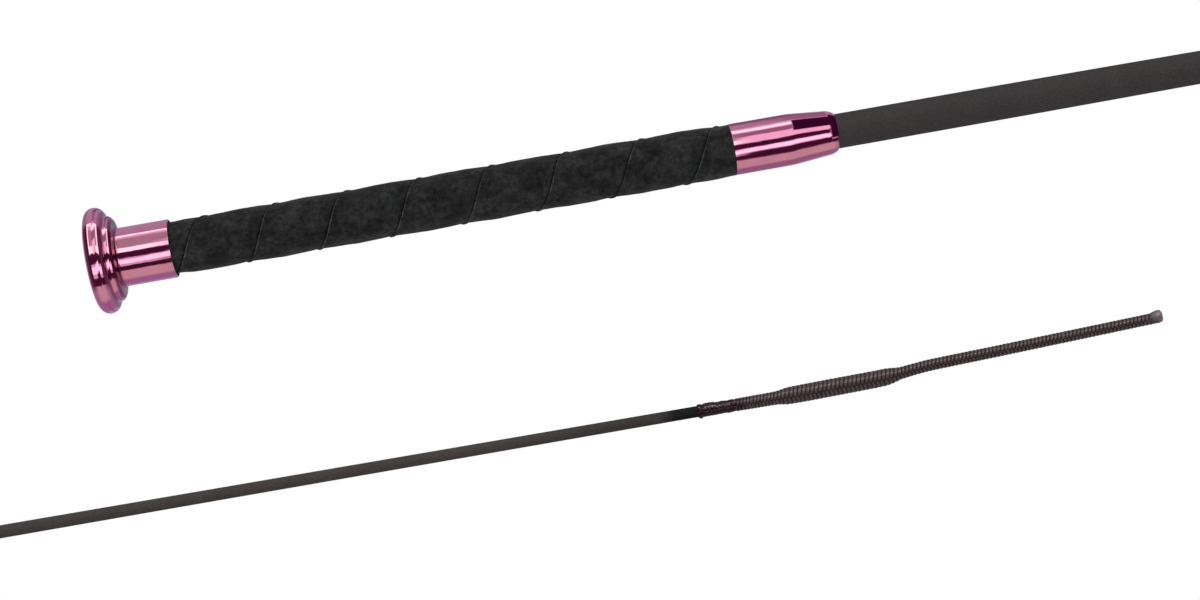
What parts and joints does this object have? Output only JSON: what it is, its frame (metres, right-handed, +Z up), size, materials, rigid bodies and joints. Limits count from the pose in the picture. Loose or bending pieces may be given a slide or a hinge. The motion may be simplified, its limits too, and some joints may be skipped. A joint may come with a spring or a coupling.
{
  "type": "dressage riding crop",
  "caption": "Long tapered riding whip with a ringed metal cap, wound suede grip, metal ferrule, woven shaft and braided cord lash.",
  "frame": {"origin": "centre of the cap's flat end face", "axes": "+X along the crop to the lash's end, +Z up, the view in use and in the picture is from -Y"},
  "size_m": [1.2, 0.03, 0.03],
  "materials": {
    "anodised_metal": "bright pink anodised, turned and polished",
    "suede": "black suede, mottled nap",
    "padding_felt": "grey felt",
    "sleeve_plastic": "natural plastic",
    "fibreglass": "pale pultruded rod",
    "woven_cover": "dark grey, finely woven and sealed",
    "brass_cap": "plain brass",
    "lacquered_thread": "dark thread under clear lacquer",
    "braided_cord": "brown-grey braided nylon",
    "core_yarn": "undyed yarn",
    "melted_cord": "melted nylon"
  },
  "bodies": {
    "whip": {"end_cap": "anodised_metal", "handle_sleeve": "sleeve_plastic", "grip_padding": "padding_felt", "grip_strip": "suede", "ferrule": "anodised_metal", "rod": "fibreglass", "shaft_cover": "woven_cover", "rod_tip_cap": "brass_cap", "binding": "lacquered_thread", "lash_root": "braided_cord"},
    "lash_link_1": {"lash_body": "braided_cord", "lash_body_core": "core_yarn"},
    "lash_link_2": {"lash_tail_1": "braided_cord", "lash_tail_1_core": "core_yarn"},
    "lash_link_3": {"lash_tail_2": "braided_cord", "lash_tail_2_core": "core_yarn"},
    "lash_link_4": {"lash_tail_3": "braided_cord", "lash_tail_3_core": "core_yarn", "lash_fused_end": "melted_cord"}
  },
  "joints": [
    {"name": "lash_bend_1", "type": "hinge", "parent": "whip", "child": "lash_link_1", "pos_m": [1.0893, 0, 0], "axis": [0, 1, 0], "range_deg": [-45, 45], "stiffness_Nm_per_rad": 0.002},
    {"name": "lash_bend_2", "type": "hinge", "parent": "lash_link_1", "child": "lash_link_2", "pos_m": [1.12398, 0, 0.00154], "axis": [0, 0, 1], "range_deg": [-60, 60], "stiffness_Nm_per_rad": 0.001},
    {"name": "lash_bend_3", "type": "hinge", "parent": "lash_link_2", "child": "lash_link_3", "pos_m": [1.1493, 0, 0.00234], "axis": [0, 1, 0], "range_deg": [-60, 60], "stiffness_Nm_per_rad": 0.001},
    {"name": "lash_bend_4", "type": "hinge", "parent": "lash_link_3", "child": "lash_link_4", "pos_m": [1.17462, 0, 0.00325], "axis": [0, 0, 1], "range_deg": [-60, 60], "stiffness_Nm_per_rad": 0.001}
  ]
}
